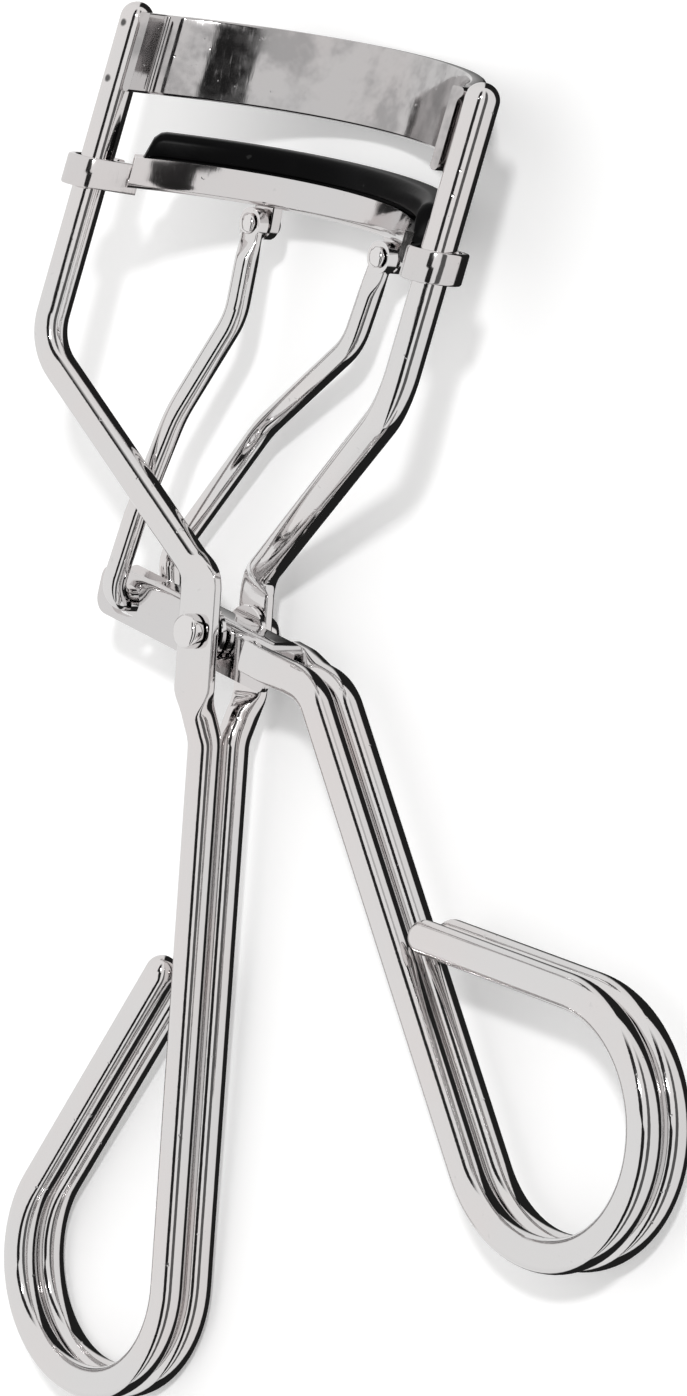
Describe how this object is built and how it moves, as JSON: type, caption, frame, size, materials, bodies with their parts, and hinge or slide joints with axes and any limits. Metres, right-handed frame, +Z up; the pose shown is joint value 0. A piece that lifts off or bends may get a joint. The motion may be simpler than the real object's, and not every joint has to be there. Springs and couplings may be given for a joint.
{
  "type": "eyelash curler",
  "caption": "Bent-wire eyelash curler: a fixed curved upper jaw, a sliding lower jaw with a soft pad, a pusher wire and a pivoting lever, with a finger loop on each handle.",
  "frame": {"origin": "centre of the part's footprint, on the surface it lies on", "axes": "+Z up from the surface, +Y from the finger loops towards the jaws, +X towards the lever's finger loop"},
  "size_m": [0.0706, 0.0996, 0.0137],
  "materials": {
    "wire": "mirror nickel-chrome plate on steel wire",
    "sheet": "mirror nickel-chrome plate on steel sheet",
    "rivet": "bright plated rivets and washers",
    "pad": "satin black silicone"
  },
  "bodies": {
    "frame": {"frame_wire_front": "wire", "frame_wire_back": "wire", "upper_jaw": "sheet", "pivot_rivet": "rivet", "pivot_washer_front": "rivet", "pivot_washer_back": "rivet"},
    "lever": {"lever_channel": "sheet", "lever_wire_front": "wire", "lever_wire_back": "wire"},
    "moving_jaw": {"lower_jaw": "sheet", "silicone_pad": "pad", "jaw_pin_left": "rivet", "jaw_pin_right": "rivet", "pusher_wire": "wire"}
  },
  "joints": [
    {"name": "lever_hinge", "type": "hinge", "parent": "frame", "child": "lever", "pos_m": [-0.01606, 0.00739, 0.00514], "axis": [0, 0.0481, -0.9988], "range_deg": [-17.5, 13.6]},
    {"name": "jaw_slide", "type": "slide", "parent": "frame", "child": "moving_jaw", "axis": [0, 0.9948, -0.1018], "range_m": [-0.00308, 0.0024]}
  ],
  "couplings": [
    {"joint": "jaw_slide", "follows": "lever_hinge", "m_per_rad": 0.010013}
  ]
}
